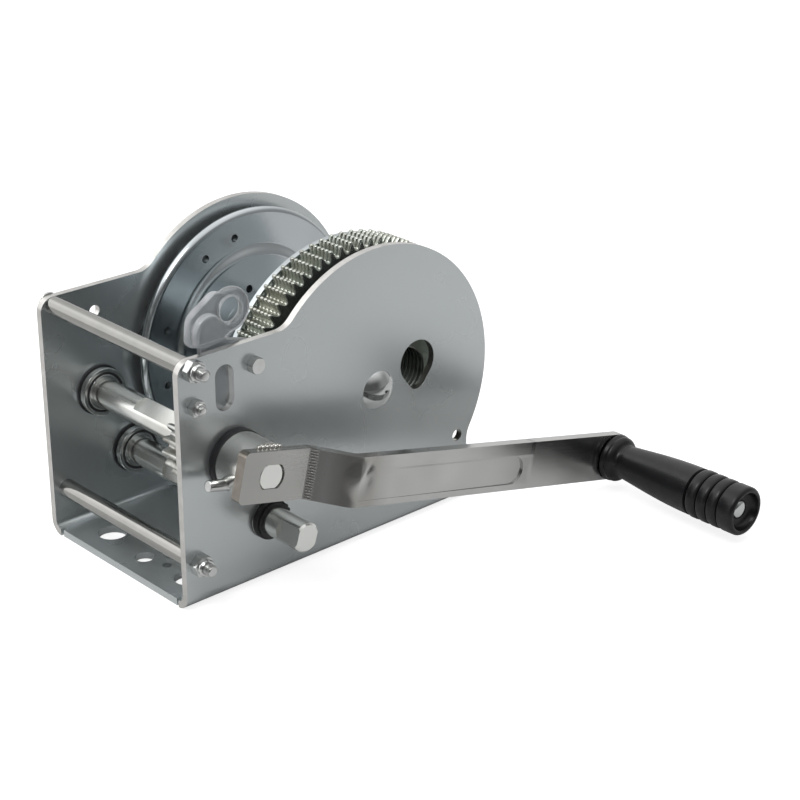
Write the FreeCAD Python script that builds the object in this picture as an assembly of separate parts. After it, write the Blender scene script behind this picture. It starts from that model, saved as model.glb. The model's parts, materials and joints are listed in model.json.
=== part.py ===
import FreeCAD, Part
import math
import os

# Two-speed hand winch: a bent sheet frame, a drum with a laminated ring gear,
# two pinion shafts side by side, and a crank that fits either shaft.
# Millimetres. X runs from the open front to the drum end, Y is the drum axis,
# Z is up. The underside of the base is at Z = 0. While it is drawn, X = 0 is
# the front edge; at the end all pieces move so that X = 0 is the drum axis.

V = FreeCAD.Vector

# Frame sheet
sheet = 4.0
frame_length = 198.0
frame_width = 123.0
front_height = 137.0
bend_inside = 4.0
corner_round = 8.0
cover_radius = 80.5
cover_blend = 13.0
rear_blend = 15.0
rear_reach = 67.0
base_setback = 0.5
relief_width = 2.0
relief_depth = 3.0

# Holes of the base, in two rows centred a little off the mid-plane
base_row_y = -3.5
base_hole_spread = 34.5
base_bolt_radius = 5.5
front_bolt_x = 15.0
front_hole_x = 18.5
front_hole_radius = 8.0
small_hole_step = 15.5
small_hole_radius = 2.6
rear_bolt_edge = 14.0
gear_gap_length = 70.0
gear_gap_room = 4.0

# Holes of the side plates
window_x = 28.3
window_z = 9.0
window_radius = 12.3
window_toe_radius = 6.2
window_drop = 9.9
slot_back = 4.9
slot_top_drop = 8.0
slot_height = 24.7
slot_radius = 5.8
rear_hole_edge = 7.5
rear_hole_z = 41.0
rear_hole_radius = 3.5
far_hole_drop = 14.6
far_hole_radius = 3.2

# Drum and gear train
drum_z = 85.5
gear_teeth = 72
high_teeth = 18
low_teeth = 12
module = 2.18
pressure_angle = math.radians(20.0)
gear_addendum = 1.05
pinion_addendum = 0.9
dedendum = 1.25
flank_play = 0.12
gear_turn = math.radians(3.17)
upper_shaft_drop = 8.9
lower_shaft_drop = 49.7
sheets = 6
sheet_pitch = 3.0
sheet_gap = 0.12
gear_front_gap = 11.3
light_hole_radius = 14.0
light_hole_circle = 33.0
light_hole_turn = -6.0
rivet_circle = 50.0
rivet_radius = 3.0
rivet_head = 5.0
rivet_height = 1.5

# Shafts and bearings
shaft_radius = 8.0
shaft_flat = 6.25
shaft_chamfer = 1.0
shaft_far_end = 5.0
keeper_height = 1.8
keeper_thick = 1.2
bore_play = 0.05
bush_radius = 11.0
bush_flange = 13.6
bush_lip = 5.5
race_wall = 2.0
race_depth = 2.0
seal_radius = 14.2
seal_thick = 1.2
pinion_lead = 0.5
pinion_setback = 0.5
ratchet_teeth = 12
ratchet_radius = 20.0
ratchet_depth = 4.0
ratchet_thick = 4.0
ratchet_face = 0.04
upper_flat_turn = -22.0
upper_flat_length = 68.0
lower_flat_turn = -73.0
lower_flat_length = 72.5
lower_tip_length = 31.0
lower_tip_flat = 15.5
collar_radius = 11.0
collar_length = 3.2
circlip_radius = 9.8
circlip_thick = 1.2
circlip_ear = 1.3

# Drum
flange_radius = 78.5
flange_thick = 3.5
far_flange_radius = 75.0
far_flange_sheet = 3.0
far_flange_step = 50.0
rim_round = 3.2
barrel_radius = 25.0
barrel_wall = 3.0
hub_radius = 10.0
hub_play = 0.3
axle_radius = 6.0
axle_head_radius = 11.0
axle_head_height = 5.0
axle_nut_across = 19.0
axle_nut_height = 10.0
rope_space = 68.0
rope_hole_radius = 2.3
rope_hole_circle = 61.5
rope_hole_turns = (162.7, 120.0, 99.5, -167.0)
inner_hole_circle = 30.0
inner_hole_turn = 96.0

# Tie bars
tie_radius = 5.0
rod_radius = 3.25
tie_x = 8.2
tie_top_drop = 5.0
tie_low_z = 25.4
nut_across = 10.5
nut_height = 5.0
nut_collar = 2.5
rod_reach = 12.0
tie_head_radius = 6.0
tie_head_height = 1.6

# Crank
crank_drop = 13.7
crank_ring_radius = 16.5
crank_ring_gap = 0.3
crank_ring_length = 4.2
crank_hub_radius = 16.0
crank_hub_length = 19.0
screw_radius = 3.0
screw_drop = 9.6
screw_inset = 6.0
screw_front = 24.0
screw_back = 6.0
arm_width = 27.0
arm_thick = 6.0
arm_heel = 19.0
arm_corner = 3.0
arm_length = 244.0
arm_end_round = 13.0
arm_end = 14.5
arm_joggle = 18.5
arm_bend_start = 23.0
arm_bend_run = 17.0
arm_bend_inside = 3.0
panel_width = 16.0
panel_drop = 2.1
panel_end = 166.0
panel_depth = 1.2

# Grip
grip_play = 0.5
grip_length = 95.0
grip_radius = 13.6
grip_neck = 9.7
grip_taper = 6.5
grip_knob = 11.0
grip_disc = 2.0
grip_ring_pitch = 7.2
grip_rings = 3
grip_ring_height = 0.35
grip_groove = 1.0
grip_end_round = 4.0
grip_recess_radius = 8.5
grip_recess_depth = 5.0
pin_radius = 4.0
pin_head_radius = 7.0
pin_head_height = 2.0
pin_cap_radius = 5.5
pin_cap_height = 1.6

# Pawl and its lever
pawl_ahead = 13.5
pawl_drop = 12.7
pawl_boss = 7.0
pawl_gap = 2.8
pawl_angle = 71.5
pawl_nose = 6.0
stop_x = 9.4
stop_drop = 25.2
bolt_radius = 2.5
bolt_across = 8.0
bolt_head = 4.5
bolt_nut = 4.0
bolt_collar = 1.7
bolt_end = 1.8
lever_thick = 3.2
lever_play = 0.3
lever_overhang = 3.3
lever_boss = 9.0
lever_front_room = 3.605
lever_foot_room = 9.5
ring_back = 10.7
ring_rise = 30.8
ring_outer = 12.0
ring_hole = 6.2
ring_bulge = 2.9
arch_back = 27.3
arch_rise = 24.7
arch_radius = 8.8
arch_foot = 6.0
arch_height = 3.5
arch_round = 2.5

# Derived places
drum_x = frame_length - rear_reach
out_y = frame_width / 2
in_y = out_y - sheet
gear_pitch = module * gear_teeth / 2
upper_reach = module * (gear_teeth + high_teeth) / 2
lower_reach = module * (gear_teeth + low_teeth) / 2
upper_x = drum_x - math.sqrt(upper_reach ** 2 - upper_shaft_drop ** 2)
upper_z = drum_z - upper_shaft_drop
lower_x = drum_x - math.sqrt(lower_reach ** 2 - lower_shaft_drop ** 2)
lower_z = drum_z - lower_shaft_drop
gear_y0 = -in_y + gear_front_gap
gear_y1 = gear_y0 + sheets * sheet_pitch
flange_y1 = gear_y1 + flange_thick
far_flange_y = flange_y1 + rope_space
bush_face = in_y - bush_lip
pinion_y0 = gear_y0 - pinion_lead
pinion_y1 = gear_y1 - pinion_setback
tie_top_z = front_height - tie_top_drop
pawl_x = upper_x + pawl_ahead
pawl_z = front_height - pawl_drop
stop_z = front_height - stop_drop
lever_y0 = -in_y + lever_play
lever_y1 = lever_y0 + lever_thick
lever_front = lever_y0 - lever_overhang
lever_reach = pawl_x - tie_x - tie_radius - lever_front_room
lever_foot = pawl_z - upper_z - seal_radius - lever_foot_room
ring_x = pawl_x - ring_back
ring_z = pawl_z + ring_rise
crank_ring_y = out_y + crank_ring_gap + crank_ring_length
hub_face = crank_ring_y + crank_hub_length + arm_thick
arm_face = hub_face + arm_joggle
screw_y = crank_ring_y + screw_inset

parts = {}


def cyl(x, z, y0, y1, radius):
    return Part.makeCylinder(radius, y1 - y0, V(x, y0, z), V(0, 1, 0))


def ring(x, z, y0, y1, outer, inner):
    return cyl(x, z, y0, y1, outer).cut(cyl(x, z, y0 - 1, y1 + 1, inner))


def box(x0, y0, z0, x1, y1, z1):
    return Part.makeBox(x1 - x0, y1 - y0, z1 - z0, V(x0, y0, z0))


def prism(points, y0, y1):
    wire = Part.makePolygon([V(x, y0, z) for x, z in points + points[:1]])
    return Part.Face(wire).extrude(V(0, y1 - y0, 0))


def hexagon(x, z, y0, y1, across, turn=0.3):
    radius = across / math.sqrt(3)
    angles = [turn + math.radians(60 * i) for i in range(6)]
    return prism([(x + radius * math.cos(a), z + radius * math.sin(a))
                  for a in angles], y0, y1)


def slot(x, z0, z1, y0, y1, radius):
    body = box(x - radius, y0, z0 + radius, x + radius, y1, z1 - radius)
    for z in (z0 + radius, z1 - radius):
        body = body.fuse(cyl(x, z, y0, y1, radius))
    return body.removeSplitter()


def lathe_y(x, z, points):
    wire = Part.makePolygon([V(r, y, 0) for r, y in points + points[:1]])
    solid = Part.Face(wire).revolve(V(0, 0, 0), V(0, 1, 0), 360)
    solid.translate(V(x, 0, z))
    return solid


# A face whose corners are rounded: each point is two lengths and a radius
def rounded_face(points, place):
    corners = []
    count = len(points)
    for i, (u, v, radius) in enumerate(points):
        corner = place(u, v)
        back = (place(*points[i - 1][:2]) - corner).normalize()
        ahead = (place(*points[(i + 1) % count][:2]) - corner).normalize()
        half = back.getAngle(ahead) / 2
        reach = radius / math.tan(half)
        inward = (back + ahead).normalize() * (radius / math.sin(half) - radius)
        corners.append((corner + back * reach, corner + inward,
                        corner + ahead * reach, radius))
    edges = []
    for i, (start, middle, end, radius) in enumerate(corners):
        if radius > 0:
            edges.append(Part.Arc(start, middle, end).toShape())
        edges.append(Part.makeLine(end, corners[(i + 1) % count][0]))
    return Part.Face(Part.Wire(edges))


def rounded_prism(points, y0, y1):
    face = rounded_face(points, lambda x, z: V(x, y0, z))
    return face.extrude(V(0, y1 - y0, 0))


# Side plates: low at the front, round cover over the gear at the back
def side_outline():
    top = front_height - drum_z
    reach = cover_radius + cover_blend
    blend_x = drum_x - math.sqrt(reach ** 2 - (top + cover_blend) ** 2)
    share = cover_radius / reach
    on_x = drum_x + (blend_x - drum_x) * share
    on_z = drum_z + (top + cover_blend) * share
    turn = (math.atan2(drum_z - front_height - cover_blend,
                       drum_x - blend_x) + math.radians(270 - 360)) / 2
    half = V(blend_x, 0, front_height + cover_blend) + V(
        cover_blend * math.cos(turn), 0, cover_blend * math.sin(turn))

    back = cover_radius + rear_blend
    side = rear_reach + rear_blend
    drop = math.sqrt(back ** 2 - side ** 2)
    share = cover_radius / back
    end_x = drum_x + side * share
    end_z = drum_z - drop * share
    lean = math.atan2(end_z - drum_z, end_x - drum_x)
    mid = math.radians(180) + lean / 2
    blend_mid = V(frame_length + rear_blend + rear_blend * math.cos(mid), 0,
                  drum_z - drop + rear_blend * math.sin(mid))

    c = corner_round
    diag = c * (1 - math.sqrt(0.5))
    edges = [
        Part.makeLine(V(0, 0, 0), V(0, 0, front_height - c)),
        Part.Arc(V(0, 0, front_height - c),
                 V(diag, 0, front_height - diag),
                 V(c, 0, front_height)).toShape(),
        Part.makeLine(V(c, 0, front_height), V(blend_x, 0, front_height)),
        Part.Arc(V(blend_x, 0, front_height), half,
                 V(on_x, 0, on_z)).toShape(),
        Part.Arc(V(on_x, 0, on_z),
                 V(drum_x + cover_radius * math.cos(0.6), 0,
                   drum_z + cover_radius * math.sin(0.6)),
                 V(end_x, 0, end_z)).toShape(),
        Part.Arc(V(end_x, 0, end_z), blend_mid,
                 V(frame_length, 0, drum_z - drop)).toShape(),
        Part.makeLine(V(frame_length, 0, drum_z - drop),
                      V(frame_length, 0, 0)),
        Part.makeLine(V(frame_length, 0, 0), V(0, 0, 0)),
    ]
    return Part.Face(Part.Wire(edges))


def bent_channel():
    length = drum_x + cover_radius + 10
    height = max(drum_z + cover_radius, front_height) + 10
    outer = box(-5, -out_y, 0, length, out_y, height)
    low = [e for e in outer.Edges
           if e.BoundBox.ZMax < 0.01 and e.BoundBox.XLength > 50]
    outer = outer.makeFillet(bend_inside + sheet, low)
    inner = box(-6, -in_y, sheet, length + 1, in_y, height + 1)
    low = [e for e in inner.Edges
           if e.BoundBox.ZMax < sheet + 0.01 and e.BoundBox.XLength > 50]
    return outer.cut(inner.makeFillet(bend_inside, low))


# Openings of the base: the gap under the gear, the bolt holes, and the notches
# that let the sheet bend at its front corners
def base_cuts():
    half_gap = gear_gap_length / 2
    cuts = [box(drum_x - half_gap, gear_y0 - gear_gap_room, -1,
                drum_x + half_gap, flange_y1 + gear_gap_room, sheet + 1)]
    rear_x = frame_length - rear_bolt_edge
    spread = base_hole_spread
    holes = [(front_bolt_x, 0, base_bolt_radius),
             (front_hole_x, spread, front_hole_radius),
             (front_hole_x, -spread, front_hole_radius),
             (front_hole_x, -small_hole_step, small_hole_radius),
             (rear_x, spread, base_bolt_radius),
             (rear_x, -spread, base_bolt_radius)]
    for x, y, radius in holes:
        cuts.append(Part.makeCylinder(radius, sheet + 2,
                                      V(x, base_row_y + y, -1)))
    edge = in_y - bend_inside
    cuts.append(box(-1, -edge, -1, base_setback, edge, sheet + 1))
    for y0, y1 in ((-edge, -edge + relief_width),
                   (edge - relief_width, edge)):
        cuts.append(box(-1, y0, -1, relief_depth, y1, sheet + 1))
    return cuts


# The window is a large and a small circle joined by their common tangents
def window(y0, y1):
    x = drum_x + window_x
    z = drum_z + window_z
    lean = math.acos((window_radius - window_toe_radius) / window_drop)
    corners = []
    for side in (1, -1):
        angle = math.radians(-90) + side * lean
        for at, radius in ((z, window_radius),
                           (z - window_drop, window_toe_radius))[::side]:
            corners.append((x + radius * math.cos(angle),
                            at + radius * math.sin(angle)))
    big = cyl(x, z, y0, y1, window_radius)
    toe = cyl(x, z - window_drop, y0, y1, window_toe_radius)
    return big.fuse([toe, prism(corners, y0, y1)])


def make_frame():
    solid = side_outline()
    solid.translate(V(0, -out_y - 5, 0))
    solid = solid.extrude(V(0, frame_width + 10, 0)).common(bent_channel())
    cuts = base_cuts()
    both = (-out_y - 1, out_y + 1)
    near = (-out_y - 1, -in_y + 1)
    far = (in_y - 1, out_y + 1)
    neck = axle_radius + bore_play
    for x, z in ((upper_x, upper_z), (lower_x, lower_z)):
        cuts.append(cyl(x, z, *both, bush_radius + bore_play))
    for z in (tie_top_z, tie_low_z):
        cuts.append(cyl(tie_x, z, *both, rod_radius + bore_play))
    cuts.append(cyl(frame_length - rear_hole_edge, rear_hole_z, *both,
                    rear_hole_radius))
    cuts.append(cyl(drum_x, drum_z, *far, neck))
    cuts.append(box(drum_x - neck, near[0], drum_z - neck,
                    drum_x + neck, near[1], drum_z + neck))
    cuts.append(cyl(upper_x, front_height - far_hole_drop, *far,
                    far_hole_radius))
    for x, z in ((pawl_x, pawl_z), (stop_x, stop_z)):
        cuts.append(cyl(x, z, *near, bolt_radius + bore_play))
    slot_top = front_height - slot_top_drop
    cuts.append(slot(upper_x - slot_back, slot_top - slot_height, slot_top,
                     *near, slot_radius))
    cuts.append(window(*near))
    return solid.cut(cuts)


# Gear teeth
def involute(angle):
    return math.tan(angle) - angle


def tooth_outline(teeth, radii, turn):
    pitch = module * teeth / 2
    base = pitch * math.cos(pressure_angle)
    start = (math.pi / (2 * teeth) - flank_play / pitch
             + involute(pressure_angle))
    half = []
    for radius, shave in radii:
        angle = math.acos(min(1.0, base / radius))
        half.append((radius, start - involute(angle) - shave / radius))
    points = []
    for i in range(teeth):
        middle = turn + 2 * math.pi * i / teeth
        flank = [(r, middle - a) for r, a in half]
        flank += [(r, middle + a) for r, a in reversed(half)]
        points += [(r * math.cos(a), r * math.sin(a)) for r, a in flank]
    return points


def gear_radii():
    tip = gear_pitch + gear_addendum * module
    return [(gear_pitch - dedendum * module, 0.0),
            (tip - 0.35 * module, 0.0),
            (tip, 0.25 * module)]


def pinion_radii(teeth):
    pitch = module * teeth / 2
    base = pitch * math.cos(pressure_angle)
    root = pitch - dedendum * module
    tip = pitch + pinion_addendum * module
    steps = [(root, 0.07 * module), (max(base, root + 0.3), 0.05 * module)]
    steps += [(pitch, 0.0), ((pitch + tip) / 2, 0.0), (tip, 0.07 * module)]
    return steps


def mesh_turn(x, z, teeth):
    toward = math.atan2(z - drum_z, x - drum_x)
    pitch_angle = 2 * math.pi / gear_teeth
    offset = (toward - gear_turn) % pitch_angle
    return (toward + math.pi + offset * gear_teeth / teeth
            + math.pi / teeth)


# Shafts have flats that carry their wheels inside and the crank outside
def flats_cut(x, z, y0, y1, turn):
    size = 3 * shaft_radius
    block = box(-size, y0, shaft_flat, size, y1, size)
    block = block.fuse(box(-size, y0, -size, size, y1, -shaft_flat))
    block.rotate(V(0, 0, 0), V(0, 1, 0), turn)
    block.translate(V(x, 0, z))
    return block


def flat_bore(x, z, y0, y1, turn):
    size = 3 * shaft_radius
    half = shaft_flat + bore_play
    bore = cyl(x, z, y0 - 1, y1 + 1, shaft_radius + bore_play)
    keep = box(-size, y0 - 2, -half, size, y1 + 2, half)
    keep.rotate(V(0, 0, 0), V(0, 1, 0), turn)
    keep.translate(V(x, 0, z))
    return bore.common(keep)


def make_shaft(x, z, tip, tip_flat, tip_turn, inner_length, inner_turn):
    r = shaft_radius
    end = out_y + shaft_far_end
    keeper = r + keeper_height
    keeper_y = out_y + bore_play
    body = lathe_y(x, z, [
        (0, -tip), (r - shaft_chamfer, -tip), (r, -tip + shaft_chamfer),
        (r, keeper_y), (keeper, keeper_y), (keeper, keeper_y + keeper_thick),
        (r, keeper_y + keeper_thick), (r, end - shaft_chamfer),
        (r - shaft_chamfer, end), (0, end)])
    body = body.cut(flats_cut(x, z, -tip - 1, -tip_flat, tip_turn))
    return body.cut(flats_cut(x, z, -bush_face, -bush_face + inner_length,
                              inner_turn))


def make_pinion(x, z, teeth, turn):
    points = tooth_outline(teeth, pinion_radii(teeth),
                           mesh_turn(x, z, teeth))
    solid = prism([(x + px, z + pz) for px, pz in points],
                  pinion_y0, pinion_y1)
    return solid.cut(flat_bore(x, z, pinion_y0, pinion_y1, turn))


def make_ratchet():
    outline = []
    for i in range(ratchet_teeth):
        middle = 2 * math.pi * i / ratchet_teeth
        for r, a in ((ratchet_radius, middle),
                     (ratchet_radius - ratchet_depth,
                      middle + ratchet_face)):
            outline.append((upper_x + r * math.cos(a),
                            upper_z + r * math.sin(a)))
    y0 = pinion_y0 - ratchet_thick
    bore = flat_bore(upper_x, upper_z, y0, pinion_y0, upper_flat_turn)
    return prism(outline, y0, pinion_y0).cut(bore)


# Bearings sit in the plates: a body in the hole and a lip inside, with a ring
# groove in its face, and a dark seal between lip and plate
def make_bush(x, z, side):
    bore = shaft_radius + bore_play
    lip = in_y - seal_thick
    points = [
        (bore, out_y), (bore, bush_face),
        (bore + race_wall, bush_face),
        (bore + race_wall, bush_face + race_depth),
        (bush_flange - race_wall, bush_face + race_depth),
        (bush_flange - race_wall, bush_face), (bush_flange, bush_face),
        (bush_flange, lip), (bush_radius, lip), (bush_radius, out_y)]
    return lathe_y(x, z, [(r, side * y) for r, y in points])


def make_seal(x, z, side):
    y0, y1 = sorted((side * in_y, side * (in_y - seal_thick)))
    return ring(x, z, y0, y1, seal_radius, bush_radius + bore_play)


def make_circlip():
    y0 = -out_y - crank_ring_gap - collar_length - circlip_thick
    y1 = y0 + circlip_thick
    solid = cyl(lower_x, lower_z, y0, y1, circlip_radius)
    for degrees in (19, 35):
        a = math.radians(degrees)
        solid = solid.fuse(cyl(lower_x + circlip_radius * math.cos(a),
                               lower_z + circlip_radius * math.sin(a),
                               y0, y1, circlip_ear))
    bore = cyl(lower_x, lower_z, y0 - 1, y1 + 1, shaft_radius + bore_play)
    return solid.cut(bore).removeSplitter()


# Drum: hub tube on the axle, barrel, two flanges and the gear sheets
def around(circle, degrees):
    a = math.radians(degrees)
    return drum_x + circle * math.cos(a), drum_z + circle * math.sin(a)


def rivet_places():
    return [around(rivet_circle, light_hole_turn + 45 + 90 * i)
            for i in range(4)]


def gear_sheet(index):
    y0 = gear_y0 + index * sheet_pitch + sheet_gap / 2
    y1 = y0 + sheet_pitch - sheet_gap
    points = tooth_outline(gear_teeth, gear_radii(), gear_turn)
    solid = prism([(drum_x + px, drum_z + pz) for px, pz in points], y0, y1)
    cuts = [cyl(drum_x, drum_z, y0 - 1, y1 + 1, hub_radius + bore_play)]
    for i in range(4):
        place = around(light_hole_circle, light_hole_turn + 90 * i)
        cuts.append(cyl(*place, y0 - 1, y1 + 1, light_hole_radius))
    for place in rivet_places():
        cuts.append(cyl(*place, y0 - 1, y1 + 1, rivet_radius + bore_play))
    return solid.cut(cuts)


def make_rivets():
    solids = []
    for place in rivet_places():
        shank = cyl(*place, gear_y0 - rivet_height,
                    flange_y1 + rivet_height, rivet_radius)
        head = cyl(*place, gear_y0 - rivet_height, gear_y0, rivet_head)
        tail = cyl(*place, flange_y1, flange_y1 + rivet_height, rivet_head)
        solids.append(shank.fuse([head, tail]).removeSplitter())
    return Part.makeCompound(solids)


def make_near_flange():
    solid = ring(drum_x, drum_z, gear_y1, flange_y1,
                 flange_radius, hub_radius + bore_play)
    holes = [cyl(*place, gear_y1 - 1, flange_y1 + 1, rivet_radius + bore_play)
             for place in rivet_places()]
    return solid.cut(holes)


# The far flange is pressed from sheet: a step half way out, and a rolled rim
def make_far_flange():
    y = far_flange_y
    t = far_flange_sheet
    bore = hub_radius + bore_play
    step = far_flange_step
    rim = far_flange_radius - rim_round
    rim_y = y + 2 * t
    points = [(bore, y), (step, y), (step + 4, y + t), (rim, y + t)]
    points += [(rim + rim_round * math.sin(math.radians(a)),
                rim_y + rim_round * (1 - math.cos(math.radians(a))) - t)
               for a in (40, 80, 120, 160)]
    points += [(rim, rim_y + t), (rim - 1, rim_y),
               (step + 3, rim_y), (step - 1, y + t), (bore, y + t)]
    solid = lathe_y(drum_x, drum_z, points)
    holes = [around(rope_hole_circle, turn) for turn in rope_hole_turns]
    holes.append(around(inner_hole_circle, inner_hole_turn))
    return solid.cut([cyl(*place, y - 1, rim_y + 1, rope_hole_radius)
                      for place in holes])


def make_barrel():
    return ring(drum_x, drum_z, flange_y1, far_flange_y,
                barrel_radius, barrel_radius - barrel_wall)


def make_hub():
    return ring(drum_x, drum_z, -in_y + hub_play, in_y - hub_play,
                hub_radius, axle_radius + bore_play)


# The axle is a bolt with a domed head and a square neck in the near plate
def make_axle():
    rise = axle_head_height
    ball = (axle_head_radius ** 2 + rise ** 2) / (2 * rise)
    head = Part.makeSphere(ball, V(drum_x, -out_y - rise + ball, drum_z))
    size = ball + 1
    head = head.common(box(drum_x - size, -out_y - size, drum_z - size,
                           drum_x + size, -out_y, drum_z + size))
    neck = axle_radius
    solid = head.fuse(box(drum_x - neck, -out_y, drum_z - neck,
                          drum_x + neck, -in_y, drum_z + neck))
    return solid.fuse(cyl(drum_x, drum_z, -in_y,
                          out_y + axle_nut_height + 6,
                          axle_radius)).removeSplitter()


def make_nut(x, z, y0, y1, across, bore):
    return hexagon(x, z, y0, y1, across).cut(cyl(x, z, y0 - 1, y1 + 1, bore))


# Lock nut: a hexagon with a round collar, its face against a plate at y
def lock_nut(x, z, y, side, across, height, collar, bore):
    y0, y1 = sorted((y, y + side * height))
    c0, c1 = sorted((y + side * height, y + side * (height + collar)))
    body = hexagon(x, z, y0, y1, across)
    body = body.fuse(cyl(x, z, c0, c1, across / 2 - 0.6))
    return body.cut(cyl(x, z, min(y0, c0) - 1, max(y1, c1) + 1, bore))


# Tie bars: a tube between the plates on a rod with a low round head on the
# far side and a lock nut on the near side
def make_tie(name, z):
    bore = rod_radius + bore_play
    near = -out_y
    far = out_y + tie_head_height
    parts["tie_tube_" + name] = ring(tie_x, z, -in_y, in_y, tie_radius, bore)
    parts["tie_rod_" + name] = cyl(tie_x, z, near - rod_reach, far,
                                   rod_radius)
    parts["tie_nut_near_" + name] = lock_nut(
        tie_x, z, near, -1, nut_across, nut_height, nut_collar, bore)
    parts["tie_nut_far_" + name] = ring(tie_x, z, out_y, far,
                                        tie_head_radius, bore)


# The pawl hangs from its bolt and reaches down to the ratchet wheel
def make_pawl():
    y0, y1 = lever_y1, pinion_y0
    reach = ratchet_radius + pawl_gap
    a = math.radians(pawl_angle)
    tip_x = upper_x + reach * math.cos(a)
    tip_z = upper_z + reach * math.sin(a)
    side = pawl_boss - 0.2
    nose = [(pawl_x - side, pawl_z, 0.5), (tip_x - 2, tip_z + 1.5, 0.5),
            (tip_x, tip_z, 0.4),
            (tip_x + pawl_nose, tip_z + pawl_nose / 2, pawl_nose / 3),
            (pawl_x + side, pawl_z, 0.5)]
    solid = rounded_prism(nose, y0, y1)
    solid = solid.fuse(cyl(pawl_x, pawl_z, y0, y1, pawl_boss))
    return solid.cut(cyl(pawl_x, pawl_z, y0 - 1, y1 + 1,
                         bolt_radius + 2 * bore_play)).removeSplitter()


# The moulded lever: a plate behind the slot, a thicker body above the side
# plate with a raised arch, and a finger ring. Corners are set from the pivot;
# the plate ends short of the tie bar in front and of the bearing below.
def lever_plate():
    front = lever_reach
    foot = lever_foot
    return [(-0.733 * front, 1 - foot, 0.1 * front),
            (-0.233 * front, -foot, 0.1 * front),
            (8, -8, 4), (8.5, 6, 4), (3, 22, 4),
            (-0.933 * front, 22, 0.133 * front),
            (-front, 13, 0.133 * front), (-0.833 * front, -5, 0.133 * front)]


lever_body = [(-38.6, 17.5, 4), (-26, 14.8, 8), (-12, 17.4, 6), (-4, 27, 6),
              (-9, 40, 3), (-20.3, 42.8, 2), (-36.8, 32.8, 3)]


def from_pivot(corners):
    return [(pawl_x + u, pawl_z + v, radius) for u, v, radius in corners]


def make_lever():
    y0, y1 = lever_y0, lever_y1
    middle = (lever_front + y1) / 2
    solid = rounded_prism(from_pivot(lever_plate()), y0, y1)
    solid = solid.fuse(cyl(pawl_x, pawl_z, y0, y1, lever_boss))
    body = rounded_prism(from_pivot(lever_body), lever_front, y1)
    solid = solid.fuse(body)
    mean = (ring_outer + ring_hole) / 2
    half = (ring_outer - ring_hole) / 2
    points = []
    for i in range(8):
        a = math.radians(22.5 + 45 * i)
        points.append((mean + half * math.cos(a) / math.cos(math.radians(22.5)),
                       middle + ring_bulge * math.sin(a)
                       / math.cos(math.radians(22.5))))
    solid = solid.cut(cyl(ring_x, ring_z, lever_front - 9, y1 + 9,
                          ring_hole + half))
    solid = solid.fuse(lathe_y(ring_x, ring_z, points))
    solid = solid.fuse(make_arch())
    return solid.cut(cyl(pawl_x, pawl_z, y0 - 9, y1 + 9,
                         bolt_radius + 2 * bore_play)).removeSplitter()


def make_arch():
    x = pawl_x - arch_back
    z = pawl_z + arch_rise
    y0 = lever_front - arch_height
    arch = cyl(x, z, y0, lever_front + 1, arch_radius)
    foot = box(x - arch_radius, y0, z - arch_foot,
               x + arch_radius, lever_front + 1, z)
    arch = arch.fuse(foot).removeSplitter()
    front = [e for e in arch.Edges if e.BoundBox.YMax < y0 + 0.01]
    return arch.makeFillet(arch_round, front)


def make_bolts():
    bore = bolt_radius + bore_play
    head = hexagon(pawl_x, pawl_z, -out_y - bolt_head, -out_y, bolt_across)
    end = pinion_y0 + lever_play + bolt_nut + bolt_collar + bolt_end
    shank = cyl(pawl_x, pawl_z, -out_y, end, bolt_radius)
    parts["pawl_bolt"] = head.fuse(shank).removeSplitter()
    parts["pawl_nut"] = lock_nut(pawl_x, pawl_z, pinion_y0 + lever_play, 1,
                                 bolt_across, bolt_nut, bolt_collar, bore)
    head = hexagon(stop_x, stop_z, -in_y, -in_y + bolt_head, bolt_across)
    end = -out_y - bolt_nut - bolt_collar - bolt_end
    shank = cyl(stop_x, stop_z, end, -in_y, bolt_radius)
    parts["stop_bolt"] = head.fuse(shank).removeSplitter()
    parts["stop_nut"] = lock_nut(stop_x, stop_z, -out_y, -1,
                                 bolt_across, bolt_nut, bolt_collar, bore)


# Crank, drawn along X and then turned about the shaft to where it stands
def in_place(shape):
    shape.rotate(V(0, 0, 0), V(0, 1, 0), crank_drop)
    shape.translate(V(upper_x, 0, upper_z))
    return shape


def arm_side():
    t = arm_thick
    bend = math.atan2(arm_joggle, arm_bend_run)
    shift = t * math.tan(bend / 2)
    first = arm_bend_start
    second = first + arm_bend_run
    far = arm_length + arm_end + 1
    near = -arm_heel - 1
    tight = arm_bend_inside
    wide = arm_bend_inside + t
    half = arm_width
    points = [
        (near, -hub_face, 0), (first, -hub_face, tight),
        (second, -arm_face, wide), (far, -arm_face, 0),
        (far, -arm_face + t, 0), (second + shift, -arm_face + t, tight),
        (first + shift, -hub_face + t, wide), (near, -hub_face + t, 0)]
    face = rounded_face(points, lambda u, y: V(u, y, -half))
    return face.extrude(V(0, 0, 2 * half))


# The panel is pressed into the arm and runs out towards the bend
def arm_panel():
    half = panel_width / 2
    start = arm_bend_start + arm_bend_run
    wedge = Part.Face(Part.makePolygon([
        V(start, -arm_face, -arm_width),
        V(panel_end + 1, -arm_face - 1, -arm_width),
        V(panel_end + 1, -arm_face + panel_depth, -arm_width),
        V(start, -arm_face, -arm_width)])).extrude(V(0, 0, 2 * arm_width))
    plan = slot(0, -panel_end, 0, -arm_face - 2, -arm_face + 2, half)
    plan.rotate(V(0, 0, 0), V(0, 1, 0), -90)
    plan.translate(V(0, 0, -panel_drop))
    return wedge.common(plan)


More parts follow.
